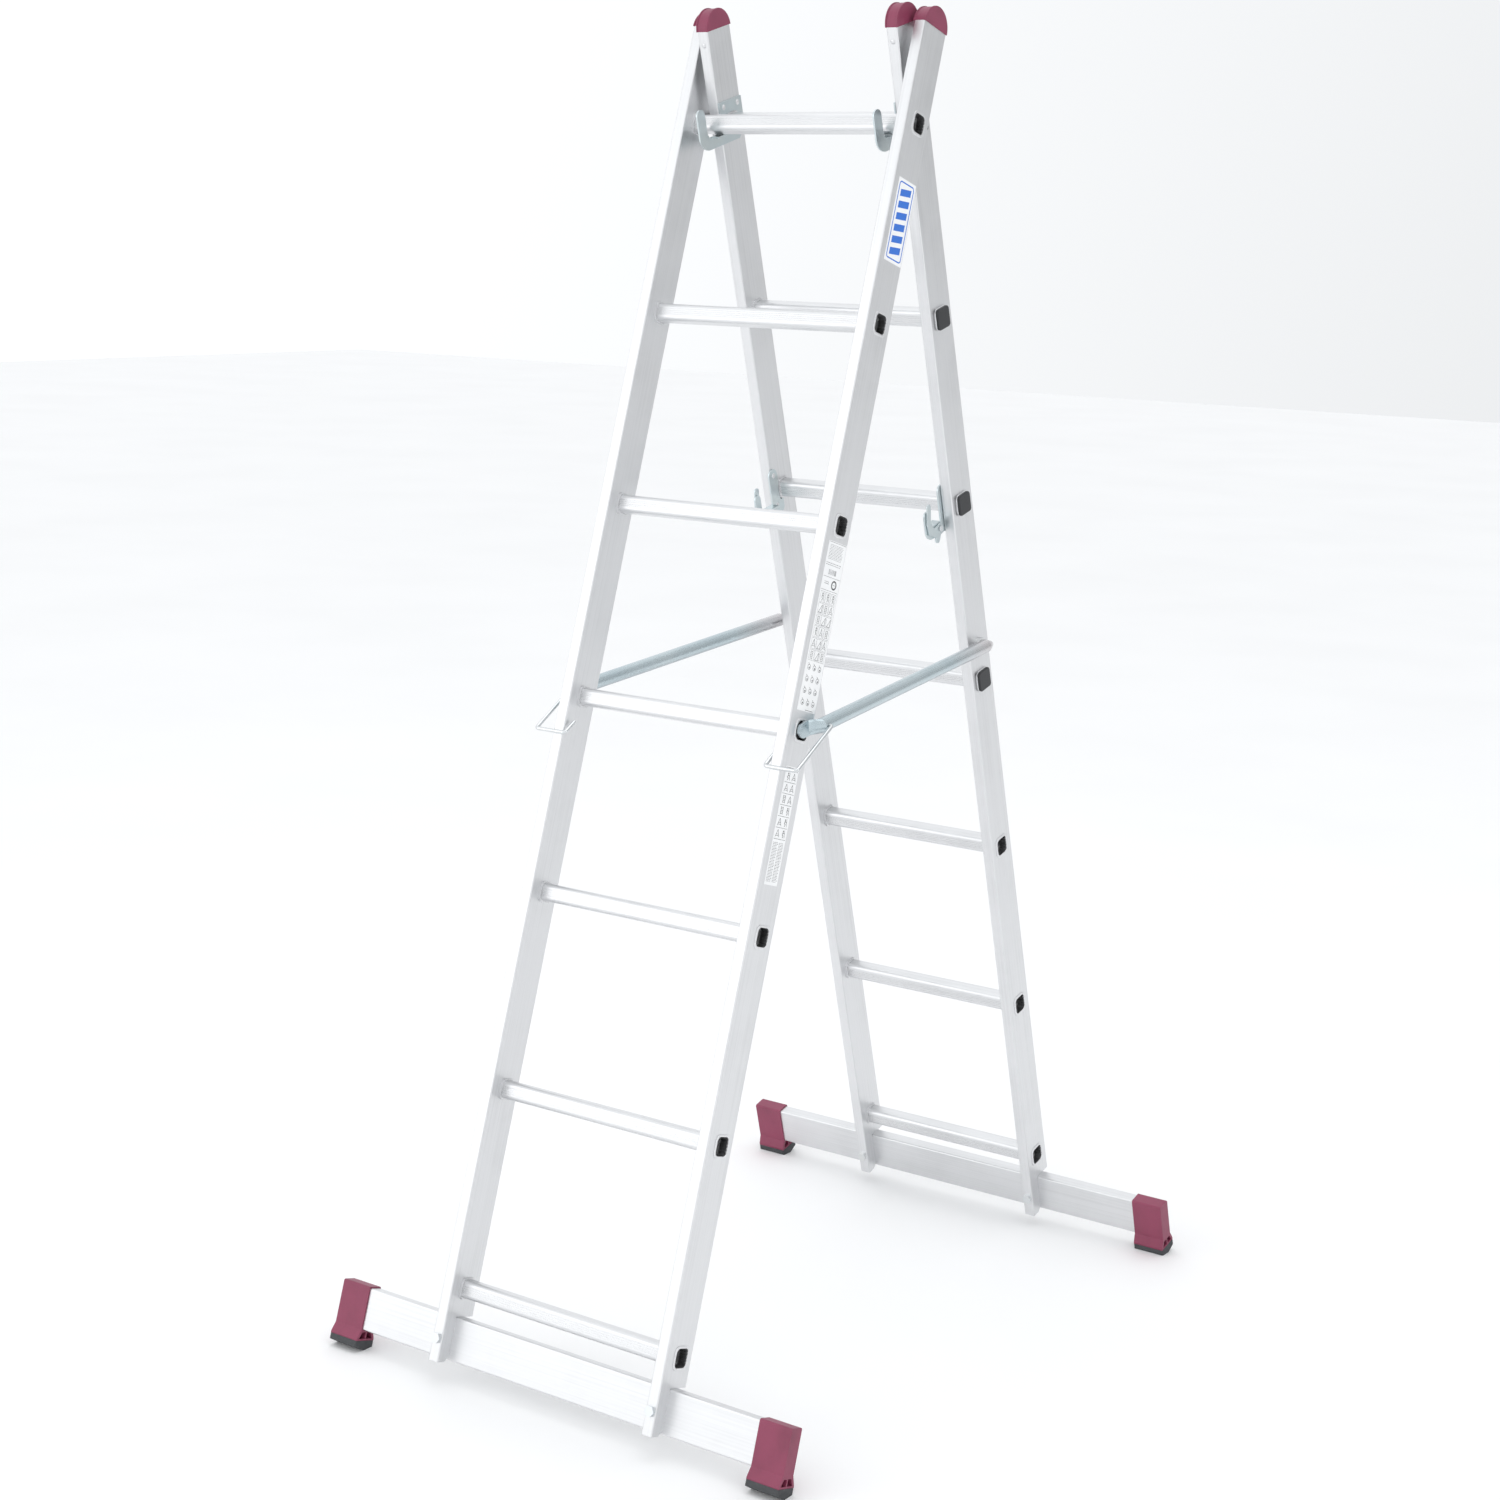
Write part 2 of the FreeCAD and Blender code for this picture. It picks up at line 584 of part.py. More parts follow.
pivot_yz = rear_point(*BRACE_PIVOT)
nose_yz = front_point(*BRACE_NOSE)
brace_run = math.hypot(nose_yz[0] - pivot_yz[0], nose_yz[1] - pivot_yz[1])
brace_tilt = math.degrees(math.atan2(nose_yz[1] - pivot_yz[1], pivot_yz[0] - nose_yz[0]))


def circle_wire(centre, normal, radius):
    return Part.Wire(Part.Circle(centre, normal, radius).toShape())


def brace_rear_end(start, axis):
    """Rear end of a brace: the tube drawn down to a small rounded tip."""
    tip_centre = V(BRACE_PIVOT_X + END_TIP[0], BRACE_END, END_TIP[1])
    tip = circle_wire(tip_centre, V(0, -1, 0), END_TIP_R)
    end = Part.makeLoft([tip, circle_wire(start, axis, BRACE_R)], True)
    return end.makeFillet(2.0, [e for e in end.Edges if e.CenterOfMass.y > BRACE_END - 0.5])


def brace_nose_end(start, axis):
    """Nose of a brace: the tube pressed flat, then a blade with a round tip."""
    half = NOSE_WIDTH / 2
    flat_y = -brace_run + NOSE_FLAT
    flat = rounded_face(NOSE_THICK / 2, half, NOSE_THICK / 2 - 0.1).OuterWire
    flat.rotate(V(0, 0, 0), X_AXIS, 90)
    flat.translate(V(NOSE_INNER_X + NOSE_THICK / 2, flat_y, 0))
    taper = Part.makeLoft([circle_wire(start, axis, BRACE_R), flat], True)
    tip = (-brace_run - NOSE_TIP[0], NOSE_TIP[1])
    upper = tangent_point((flat_y, half), tip, NOSE_TIP_R, 1)
    lower = tangent_point((flat_y, -half), tip, NOSE_TIP_R, -1)
    x1 = NOSE_INNER_X + NOSE_THICK
    blade = profile_bar([(flat_y, half), upper, lower, (flat_y, -half)], NOSE_INNER_X, x1)
    return taper.fuse(blade.fuse(rod(NOSE_TIP_R, NOSE_INNER_X, x1, *tip)))


def brace_level():
    """Right-hand brace drawn level: pivot at y = 0, nose towards -Y, then tilted to fit."""
    slope = (BRACE_NOSE_X - BRACE_PIVOT_X) / brace_run
    axis = V(slope, -1, 0)
    axis.normalize()
    first = BRACE_END - END_TAPER
    start = V(BRACE_PIVOT_X - slope * first, first, 0)
    nose_start = V(BRACE_NOSE_X - slope * NOSE_TAPER, -brace_run + NOSE_TAPER, 0)
    length = (nose_start - start).Length
    body = Part.makeCylinder(BRACE_R, length, start, axis)
    core = Part.makeCylinder(BRACE_R - BRACE_WALL, length - BRACE_PLUG,
                             start + axis * BRACE_PLUG, axis)
    body = body.cut(core).fuse(brace_rear_end(start, axis)).fuse(brace_nose_end(nose_start, axis))
    inner_x = BRACE_PIVOT_X - BRACE_R
    body = body.cut(rod(PIVOT_PIN_R + 0.3, inner_x - 2, BRACE_PIVOT_X + 2, 0, 0))
    eye_y = -brace_run + BAIL_EYE
    return body.cut(rod(BAIL_R + 0.3, NOSE_INNER_X, BAIL_OUTER_X, eye_y, 0))


def brace():
    shape = brace_level()
    shape.rotate(V(0, 0, 0), X_AXIS, -brace_tilt)
    shape.translate(V(0, pivot_yz[0], pivot_yz[1]))
    return shape


def brace_pivot_pin():
    """Shouldered pin riveted into the rear stile; the brace turns on its nose."""
    outer = REAR_WIDTH / 2
    y, z = BRACE_PIVOT
    boss = rod(PIVOT_BOSS_R, outer, BRACE_PIVOT_X - BRACE_R - 1.0, y, z)
    pin = rod(PIVOT_PIN_R, outer - STILE_WALL, BRACE_PIVOT_X + 1, y, z)
    head = rod(PIVOT_PIN_R + 2, outer - STILE_WALL - 2, outer - STILE_WALL, y, z)
    return boss.fuse(pin).fuse(head)


def bent_wire(points, bend, radius):
    """Round wire along (x, y) points in the XY plane, with bends at the inner points."""
    pts = [V(x, y, 0) for x, y in points]
    pieces = []
    start = pts[0]
    for before, corner, after in zip(pts, pts[1:], pts[2:]):
        into = (before - corner).normalize()
        out = (after - corner).normalize()
        first = corner + into * bend
        last = corner + out * bend
        centre = first + out * bend
        middle = centre + (corner - centre).normalize() * bend
        pieces.append(Part.LineSegment(start, first).toShape())
        pieces.append(Part.Arc(first, middle, last).toShape())
        start = last
    pieces.append(Part.LineSegment(start, pts[-1]).toShape())
    heading = (pts[1] - pts[0]).normalize()
    profile = Part.Wire(Part.Circle(pts[0], heading, radius).toShape())
    return Part.Wire(pieces).makePipeShell([profile], True, False)


def bail():
    """Right-hand wire bail: through the brace, round the front stile and back inside it."""
    eye_share = 1 - BAIL_EYE / brace_run
    eye_y = pivot_yz[0] + (nose_yz[0] - pivot_yz[0]) * eye_share
    eye_z = pivot_yz[1] + (nose_yz[1] - pivot_yz[1]) * eye_share
    eye_x = BRACE_PIVOT_X + (BRACE_NOSE_X - BRACE_PIVOT_X) * eye_share
    dy, dz = eye_y - FRONT_Y, eye_z - front_z
    eye_depth = dy * cos_f - dz * sin_f
    rest_depth = FRONT_FACE - BAIL_R - BAIL_REST_GAP
    drop = math.degrees(math.acos((eye_depth - rest_depth) / BAIL_REACH))
    inner_end = eye_x - BRACE_R - 2.2
    wire = bent_wire([(inner_end, 0), (BAIL_OUTER_X, 0), (BAIL_OUTER_X, -BAIL_REACH),
                      (BAIL_INNER_X, -BAIL_REACH), (BAIL_INNER_X, -BAIL_REACH + BAIL_TAIL)],
                     BAIL_BEND, BAIL_R)
    wire = wire.fuse(rod(BAIL_HEAD_R, inner_end, inner_end + 1.6, 0, 0))
    wire.rotate(V(0, 0, 0), X_AXIS, drop - FRONT_LEAN)
    wire.translate(V(0, eye_y, eye_z))
    return wire


# ---------------------------------------------------------------- write every node
os.makedirs("parts", exist_ok=True)

sections = (
    ("front", FRONT_WIDTH, FRONT_FACE, FRONT_DEPTH, FRONT_LEAN, front_bar_y),
    ("rear", REAR_WIDTH, REAR_FACE, REAR_DEPTH, REAR_LEAN, rear_bar_y),
)

for section, width, face_y, depth, lean, bar_y in sections:
    side_rail = stile(width, face_y, depth) if section == "front" else rear_stile()
    pieces = (
        ("stile", side_rail),
        ("foot_cap", foot_cap(bar_y)),
        ("sole", sole(bar_y, lean)),
        ("top_cap", top_cap(width, face_y, depth)),
    )
    for name, shape in pieces:
        write(section + "_" + name + "_right", shape, section)
        write(section + "_" + name + "_left", mirrored(shape), section)
    for index in range(RUNGS):
        write(section + "_rung_" + str(index + 1), rung(width, rung_z(index)), section)
    write(section + "_base_bar", base_bar(width, bar_y), section)
    write(section + "_bar_bolts", both_sides(bar_bolt(width, face_y, bar_y)), section)
    write(section + "_bar_nuts", both_sides(bar_nut(width, bar_y)), section)
    write(section + "_cap_rivets", both_sides(cap_rivet(width, face_y)), section)

plugs = [rung_plug(rung_z(index)) for index in range(3, RUNGS)]
write("rung_end_plugs", Part.makeCompound(plugs + [mirrored(p) for p in plugs]), "rear")

rivets = [hook_rivet(y, top_rung_z + z) for y, z in TOP_HOOK_RIVETS]
rivets += [hook_rivet(y, rung_z(MID_HOOK_RUNG) + z) for y, z in MID_HOOK_RIVETS]
write("hook_rivets", Part.makeCompound(rivets + [mirrored(r) for r in rivets]), "rear")

for name, shape in (("top_hook", top_hook()), ("mid_hook", mid_hook()), ("latch", latch())):
    write(name + "_right", shape, "rear")
    write(name + "_left", mirrored(shape), "rear")
write("latch_pins", both_sides(latch_pin()), "rear")
write("brace_pivots", both_sides(brace_pivot_pin()), "rear")

for name, shape in (("brace", brace()), ("bail", bail())):
    write(name + "_right", shape)
    write(name + "_left", mirrored(shape))

for name, extent in (("badge_label", BADGE_LABEL), ("guide_label", GUIDE_LABEL),
                     ("strip_label", STRIP_LABEL)):
    write(name, label(extent), "front")
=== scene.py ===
"""Looks of the two-section ladder: its materials, printed labels, light and camera."""

import math
import random

import bmesh
import bpy
from mathutils import Matrix, Vector


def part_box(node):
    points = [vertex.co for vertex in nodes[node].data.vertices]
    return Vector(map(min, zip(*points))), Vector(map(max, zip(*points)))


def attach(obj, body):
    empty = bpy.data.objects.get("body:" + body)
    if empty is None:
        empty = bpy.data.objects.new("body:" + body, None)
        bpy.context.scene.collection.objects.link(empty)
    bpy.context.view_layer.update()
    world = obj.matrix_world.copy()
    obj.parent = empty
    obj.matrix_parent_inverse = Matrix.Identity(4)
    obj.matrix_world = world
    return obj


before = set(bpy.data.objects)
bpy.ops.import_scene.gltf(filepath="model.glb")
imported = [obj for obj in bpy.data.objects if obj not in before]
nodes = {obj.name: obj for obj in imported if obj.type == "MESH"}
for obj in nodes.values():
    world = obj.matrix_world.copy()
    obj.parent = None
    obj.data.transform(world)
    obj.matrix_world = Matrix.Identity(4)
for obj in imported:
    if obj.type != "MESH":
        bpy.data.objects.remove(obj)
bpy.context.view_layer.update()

MM = 0.001
SIDES = ("left", "right")
SECTIONS = ("front", "rear")
RUNGS = 7

# ---- camera, in metres and degrees
CAMERA_PLACE = Vector((2.1764, -3.1670, 1.5972))
CAMERA_YAW = 35.35
CAMERA_DIP = 9.52
CAMERA_ROLL = 1.4
CAMERA_LENS = 64.47
CAMERA_SENSOR = 36.0
CAMERA_SHIFT_Y = -0.0522

# ---- brace tubes, in metres: thickness, and where along Y the warm tint starts and ends
TUBE_SIZE = 0.02
TUBE_TINT_START = 0.12
TUBE_TINT_END = 0.22

# ---- the room: its dimmer side, where the fade starts and ends, and how bright each end is
DIM_SIDE = (0.80, 0.60, -0.35)
FADE_START = -0.35
FADE_END = 0.9
BRIGHT_LEVEL = 1.15
DIM_LEVEL = 0.64
ROOM_TINT = (0.97, 0.985, 1.0, 1)
FLOOR_SIZE = 40

# ---- lamps, in watts
KEY_POWER = 26
TOP_POWER = 26
FILL_POWER = 14

# ---- metal: draw lines in metres, and the colours that several finishes share: edges that are partly wear and partly painted highlight, and the painted shade deep in a bore
GRAIN_FINE = 0.0007
GRAIN_LONG = 0.45
ALUMINIUM = (0.745, 0.75, 0.76)
WORN_EDGE_AND_HIGHLIGHT = (0.97, 0.975, 0.98)
BORE_PAINTED_SHADE = (0.08, 0.08, 0.085)

# ---- rung ends, in metres: roll of the lip, depth it starts over, reach of light into the bore
LIP_ROLL = 0.0015
LIP_START = 0.0003
BORE_REACH = 0.03

# ---- printed labels, in millimetres
INK_LIFT = 0.05
WORD_GAP = 0.9
GUIDE_HEAD = 48.0
GUIDE_BAND = 18.0
GUIDE_MARGIN = 2.5
GUIDE_COLUMNS = 3
GUIDE_ROWS = 10
GUIDE_LEVEL_ROWS = 4
STRIP_MARGIN = 1.6
STRIP_ROWS = 6
STRIP_PRINT = 62.0
BADGE_MARGIN = 9.0
BADGE_BARS = 6
PRINT_SEED = 7

# ---- sockets of the mix node for each kind of value: first input, second input, output
MIX_VECTOR = (4, 5, 1)
MIX_COLOUR = (6, 7, 2)


# ---------------------------------------------------------------- section frames
def middle(node):
    low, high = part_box(node)
    return (low + high) / 2


def section_matrix(section):
    """Section frame: X across, Y through the stile, Z up the stile, origin on the lowest rung."""
    origin = middle(section + "_rung_1")
    up = (middle(section + "_rung_" + str(RUNGS)) - origin).normalized()
    across = Vector((1, 0, 0))
    through = up.cross(across)
    turn = Matrix((across, through, up)).transposed()
    return Matrix.Translation(origin) @ turn.to_4x4()


section_frames = {section: section_matrix(section) for section in SECTIONS}


def section_turn(section):
    """Angle about X that stands the section's grain upright."""
    up = section_frames[section].col[2]
    return math.atan2(up.y, up.z)


def section_extent(node, section):
    """Lowest and highest corner of a node in its section's frame, in millimetres."""
    inverse = section_frames[section].inverted()
    points = [inverse @ v.co / MM for v in nodes[node].data.vertices]
    low = Vector(min(p[i] for p in points) for i in range(3))
    high = Vector(max(p[i] for p in points) for i in range(3))
    return low, high


def tube_turn():
    """Angle about X that lays the grain along the braces."""
    low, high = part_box("brace_right")
    return math.atan2(-(high.z - low.z - TUBE_SIZE), high.y - low.y - TUBE_SIZE)


# ---------------------------------------------------------------- material building
class Graph:
    """The shader nodes of one material."""

    def __init__(self, name):
        self.material = bpy.data.materials.new(name)
        self.material.use_nodes = True
        self.tree = self.material.node_tree
        self.surface = self.tree.nodes["Principled BSDF"]
        self.place = self.add("ShaderNodeTexCoord").outputs["Object"]

    def feed(self, socket, value):
        if isinstance(value, bpy.types.NodeSocket):
            self.tree.links.new(value, socket)
        else:
            socket.default_value = value

    def add(self, kind, inputs=(), **settings):
        made = self.tree.nodes.new(kind)
        for key, value in settings.items():
            setattr(made, key, value)
        for socket, value in dict(inputs).items():
            self.feed(made.inputs[socket], value)
        return made

    def set(self, **values):
        """Sets the shader's own sockets; an underscore in a name stands for a space."""
        for key, value in values.items():
            self.feed(self.surface.inputs[key.replace("_", " ")], value)

    def sized(self, size, turn=0.0):
        """Coordinates in which one unit is the given size in metres along each axis."""
        mapping = self.add(
            "ShaderNodeMapping",
            {"Vector": self.place, "Rotation": (-turn, 0, 0), "Scale": size},
            vector_type="TEXTURE",
        )
        return mapping.outputs["Vector"]

    def noise(self, size, turn=0.0, detail=2.0, rough=0.5):
        """Soft noise from 0 to 1 whose features have the given size in metres."""
        inputs = {
            "Vector": self.sized(size, turn),
            "Scale": 1.0,
            "Detail": detail,
            "Roughness": rough,
        }
        return self.add("ShaderNodeTexNoise", inputs).outputs["Fac"]

    def spread(self, value, low, high, start=0.3, end=0.7):
        """Maps start..end of a value onto low..high."""
        inputs = {
            "Value": value,
            "From Min": start,
            "From Max": end,
            "To Min": low,
            "To Max": high,
        }
        return self.add("ShaderNodeMapRange", inputs).outputs["Result"]

    def math(self, operation, first, second):
        made = self.add("ShaderNodeMath", {0: first, 1: second}, operation=operation)
        return made.outputs[0]

    def ramp(self, value, stops):
        """Colour ramp through (position, colour) stops."""
        made = self.add("ShaderNodeValToRGB", {"Fac": value})
        elements = made.color_ramp.elements
        elements[0].position = stops[0][0]
        elements[1].position = stops[-1][0]
        for position, _ in stops[1:-1]:
            elements.new(position)
        for element, (_, colour) in zip(elements, stops):
            element.color = (*colour, 1)
        return made.outputs["Color"]

    def edge(self, radius):
        """Normal that rounds the edges, and a mask that is 1 on them."""
        soft = self.add("ShaderNodeBevel", {"Radius": radius}, samples=4).outputs["Normal"]
        plain = self.add("ShaderNodeNewGeometry").outputs["Normal"]
        dot = self.add("ShaderNodeVectorMath", {0: soft, 1: plain}, operation="DOT_PRODUCT")
        mask = self.spread(dot.outputs["Value"], 1.0, 0.0, 0.86, 0.995)
        return soft, mask

    def mix(self, fac, first, second):
        """Blend of two colours."""
        low, high, out = MIX_COLOUR
        made = self.add("ShaderNodeMix", {"Factor": fac}, data_type="RGBA")
        for socket, value in ((made.inputs[low], first), (made.inputs[high], second)):
            self.feed(socket, value if isinstance(value, bpy.types.NodeSocket) else (*value, 1))
        return made.outputs[out]

    def mix_normal(self, fac, first, second):
        """Blend of two normals."""
        low, high, out = MIX_VECTOR
        inputs = {"Factor": fac, low: first, high: second}
        return self.add("ShaderNodeMix", inputs, data_type="VECTOR").outputs[out]

    def cavity(self, reach):
        """Openness of a point from ambient occlusion: 1 on open faces, falling to 0 deep in a
        hollow, where shade is painted.
        """
        made = self.add("ShaderNodeAmbientOcclusion", {"Distance": reach}, samples=4)
        made.only_local = True
        return self.spread(made.outputs["AO"], 0.0, 1.0, 0.15, 0.45)

    def bump(self, height, depth, strength=1.0, normal=None):
        inputs = {"Height": height, "Distance": depth, "Strength": strength}
        if normal is not None:
            inputs["Normal"] = normal
        return self.add("ShaderNodeBump", inputs).outputs["Normal"]


# ---------------------------------------------------------------- materials
def aluminium(name, turn, grain, radius=0.0006, lip_x=None):
    """Satin extruded aluminium; grain is the size of its draw lines in metres.

    lip_x is given for an open tube: its bore gets painted shade, and beyond that X its lip is
    rolled round and given a painted highlight.
    """
    g = Graph(name)
    fine = g.noise(grain, turn, detail=3.0, rough=0.65)
    wide_size = tuple(4 * s if s < 0.01 else s for s in grain)
    wide = g.noise(wide_size, turn, detail=2.0)
    smudge = g.noise((0.09, 0.09, 0.09), turn, detail=4.0, rough=0.6)
    soft, mask = g.edge(radius)
    shade = g.math("ADD", g.spread(wide, -0.5, 0.5), g.spread(smudge, -0.6, 0.6))
    dark = tuple(0.93 * c for c in ALUMINIUM)
    bright = tuple(1.03 * c for c in ALUMINIUM)
    stops = ((0.0, dark), (0.5, ALUMINIUM), (1.0, bright))
    colour = g.ramp(g.spread(shade, 0, 1, -0.9, 0.9), stops)
    # Edges paler: partly edge wear, partly a painted highlight on the rim.
    colour = g.mix(g.math("MULTIPLY", mask, 0.5), colour, WORN_EDGE_AND_HIGHLIGHT)
    if lip_x:
        rolled, lip_highlight = g.edge(LIP_ROLL)
        across = g.add("ShaderNodeSeparateXYZ", {"Vector": g.place}).outputs["X"]
        on_lip = g.spread(g.math("ABSOLUTE", across, 0), 0, 1, lip_x, lip_x + LIP_START)
        soft = g.mix_normal(on_lip, soft, rolled)
        # Painted highlight on the rolled lip ring.
        colour = g.mix(g.math("MULTIPLY", on_lip, lip_highlight), colour, WORN_EDGE_AND_HIGHLIGHT)
        # Painted shade deep inside the bore, where ambient occlusion finds a hollow.
        colour = g.mix(g.cavity(BORE_REACH), BORE_PAINTED_SHADE, colour)
    rough = g.math("ADD", g.spread(fine, 0.30, 0.42), g.spread(smudge, -0.03, 0.06))
    g.set(Base_Color=colour, Metallic=1.0, Roughness=rough)
    g.set(Normal=g.bump(fine, 0.00003, 0.7, soft))
    return g.material


def zinc_steel(name, radius=0.0005, tint=(0.58, 0.65, 0.67)):
    """Bright bluish zinc plating with a faint cloudy mottle."""
    g = Graph(name)
    mottle = g.noise((0.012, 0.012, 0.012), detail=3.0, rough=0.55)
    cloud = g.noise((0.05, 0.05, 0.05), detail=2.0)
    pits = g.noise((0.0012, 0.0012, 0.0012), detail=2.0)
    soft, mask = g.edge(radius)
    pale = tuple(1.05 * c for c in tint)
    straw = (tint[0] * 1.05, tint[1], tint[2] * 0.95)
    colour = g.mix(g.spread(mottle, 0, 1), tint, pale)
    colour = g.mix(g.spread(cloud, 0, 0.6, 0.45, 0.75), colour, straw)
    colour = g.mix(g.math("MULTIPLY", mask, 0.7), colour, (0.93, 0.95, 0.96))
    rough = g.math("ADD", g.spread(mottle, 0.30, 0.36), g.spread(pits, -0.02, 0.02))
    g.set(Base_Color=colour, Metallic=1.0, Roughness=rough)
    g.set(Normal=g.bump(pits, 0.00002, 0.4, soft))
    return g.material


def zinc_tube(name, turn):
    """Zinc-plated drawn tube: faint lines along it, a warm tinted end, and painted shade on its
    underside.
    """
    g = Graph(name)
    lines = g.noise((0.0009, 0.30, 0.0009), turn, detail=2.0)
    cloud = g.noise((0.05, 0.09, 0.05), turn, detail=2.0)
    soft, mask = g.edge(0.0006)
    along = g.add("ShaderNodeSeparateXYZ", {"Vector": g.place}).outputs["Y"]
    cool = g.mix(g.spread(cloud, 0, 1), (0.50, 0.585, 0.62), (0.57, 0.645, 0.67))
    warm = g.mix(g.spread(cloud, 0, 1), (0.66, 0.60, 0.60), (0.62, 0.61, 0.62))
    colour = g.mix(g.spread(along, 0, 0.8, TUBE_TINT_START, TUBE_TINT_END), cool, warm)
    colour = g.mix(g.math("MULTIPLY", mask, 0.4), colour, (0.90, 0.93, 0.94))
    # Painted shade: faces that point down are darkened towards a dark grey.
    normal = g.add("ShaderNodeTexCoord").outputs["Normal"]
    height = g.add("ShaderNodeSeparateXYZ", {"Vector": normal}).outputs["Z"]
    colour = g.mix(g.spread(height, 0.75, 0, -0.95, -0.35), colour, (0.20, 0.20, 0.22))
    g.set(Base_Color=colour, Metallic=1.0, Roughness=g.spread(lines, 0.24, 0.32))
    g.set(Normal=g.bump(lines, 0.00002, 0.5, soft))
    return g.material


def bright_wire(name):
    """Pale drawn wire with a light plating."""
    g = Graph(name)
    drawn = g.noise((0.0008, 0.012, 0.012), detail=2.0)
    cloud = g.noise((0.02, 0.02, 0.02), detail=3.0)
    colour = g.ramp(cloud, ((0.25, (0.62, 0.64, 0.65)), (0.6, (0.70, 0.72, 0.73)),
                            (0.9, (0.76, 0.78, 0.78))))
    g.set(Base_Color=colour, Metallic=1.0, Roughness=g.spread(drawn, 0.14, 0.22))
    g.set(Normal=g.bump(drawn, 0.00004, 0.5))
    return g.material


def moulded_plastic(name, tint, rough=0.46, light=None):
    """Moulded plastic with a fine spark-eroded grain, lighter where its edges are rubbed."""
    g = Graph(name)
    fine = g.noise((0.0007, 0.0007, 0.0007), detail=3.0, rough=0.7)
    flow = g.noise((0.035, 0.035, 0.05), detail=3.0, rough=0.55)
    soft, mask = g.edge(0.0009)
    dark = tuple(0.84 * c for c in tint)
    pale = tuple(1.12 * c for c in tint)
    rubbed = light or tuple(1.5 * c + 0.012 for c in tint)
    colour = g.ramp(flow, ((0.25, dark), (0.5, tint), (0.8, pale)))
    colour = g.mix(g.math("MULTIPLY", mask, 0.45), colour, rubbed)
    g.set(Base_Color=colour, Roughness=g.spread(fine, rough - 0.06, rough + 0.08), IOR=1.5)
    g.set(Normal=g.bump(fine, 0.00007, 0.55, soft))
    return g.material


def rubber(name):
    """Dark grey moulded rubber with floor dust towards its edges."""
    g = Graph(name)
    fine = g.noise((0.0011, 0.0011, 0.0011), detail=4.0, rough=0.7)
    dust = g.noise((0.016, 0.016, 0.006), detail=4.0, rough=0.6)
    soft, mask = g.edge(0.0012)
    colour = g.ramp(dust, ((0.3, (0.040, 0.043, 0.047)), (0.6, (0.058, 0.061, 0.065)),
                           (0.85, (0.095, 0.097, 0.100))))
    colour = g.mix(g.math("MULTIPLY", mask, 0.5), colour, (0.13, 0.135, 0.14))
    g.set(Base_Color=colour, Roughness=g.spread(fine, 0.62, 0.82))
    g.set(Normal=g.bump(fine, 0.00012, 0.6, soft))
    return g.material


def label_film(name):
    """White printed film with faint ripples from being rubbed down on the metal."""
    g = Graph(name)
    ripple = g.noise((0.006, 0.006, 0.018), section_turn("front"), detail=2.0)
    age = g.noise((0.03, 0.03, 0.05), detail=3.0)
    colour = g.ramp(age, ((0.3, (0.90, 0.91, 0.92)), (0.7, (0.95, 0.955, 0.96))))
    g.set(Base_Color=colour, Roughness=g.spread(ripple, 0.30, 0.42), Coat_Weight=0.15)
    g.set(Normal=g.bump(ripple, 0.00015, 0.35))
    return g.material


def ink(name, tint):
    """Screen-printed ink, a little uneven in density."""
    g = Graph(name)
    density = g.noise((0.0012, 0.0012, 0.0012), detail=3.0)
    pale = tuple(0.9 * c + 0.06 for c in tint)
    colour = g.ramp(density, ((0.35, tint), (0.85, pale)))
    g.set(Base_Color=colour, Roughness=g.spread(density, 0.34, 0.46))
    return g.material


def pale_floor(name):
    """Plain pale floor with a very faint cloud in its tone."""
    g = Graph(name)
    cloud = g.noise((0.8, 0.8, 0.8), detail=3.0)
    colour = g.ramp(cloud, ((0.3, (0.92, 0.92, 0.922)), (0.7, (0.945, 0.945, 0.947))))
    g.set(Base_Color=colour, Roughness=g.spread(cloud, 0.62, 0.70))
    return g.material


def dress(node, material):
    """Gives a CAD node one material on every face."""
    mesh = nodes[node].data
    mesh.materials.clear()
    mesh.materials.append(material)


def dress_all():
    """Every CAD node gets its finish."""
    along_z = (GRAIN_FINE, GRAIN_FINE, GRAIN_LONG)
    along_x = (GRAIN_LONG, GRAIN_FINE, GRAIN_FINE)
    steel = zinc_steel("zinc_plate")
    tube = zinc_tube("zinc_tube", tube_turn())
    bolt = zinc_steel("zinc_bolt", radius=0.0004, tint=(0.70, 0.73, 0.75))
    wire = bright_wire("plated_wire")
    cap = moulded_plastic("burgundy_plastic", (0.245, 0.040, 0.088))
    plug = moulded_plastic("black_plastic", (0.020, 0.021, 0.024), rough=0.40,
                           light=(0.07, 0.07, 0.075))
    sole = rubber("sole_rubber")
    film = label_film("label_film")
    rivet = aluminium("rivet_aluminium", 0.0, (0.002, 0.002, 0.002), radius=0.0003)
    for section in SECTIONS:
        turn = section_turn(section)
        upright = aluminium(section + "_upright_extrusion", turn, along_z)
        across = aluminium(section + "_cross_extrusion", turn, along_x)
        face_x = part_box(section + "_stile_right")[1].x
        rung = aluminium(section + "_rung_extrusion", turn, along_x, radius=0.0004, lip_x=face_x)
        for side in SIDES:
            dress(section + "_stile_" + side, upright)
            dress(section + "_foot_cap_" + side, cap)
            dress(section + "_top_cap_" + side, cap)
            dress(section + "_sole_" + side, sole)
        for index in range(RUNGS):
            dress(section + "_rung_" + str(index + 1), rung)
        dress(section + "_base_bar", across)
        dress(section + "_bar_bolts", bolt)
        dress(section + "_bar_nuts", bolt)
        dress(section + "_cap_rivets", rivet)
    for side in SIDES:
        for name in ("top_hook_", "mid_hook_", "latch_"):
            dress(name + side, steel)
        dress("brace_" + side, tube)
        dress("bail_" + side, wire)
    dress("hook_rivets", rivet)
    dress("latch_pins", bolt)
    dress("brace_pivots", bolt)
    dress("rung_end_plugs", plug)
    for name in ("badge_label", "guide_label", "strip_label"):
        dress(name, film)


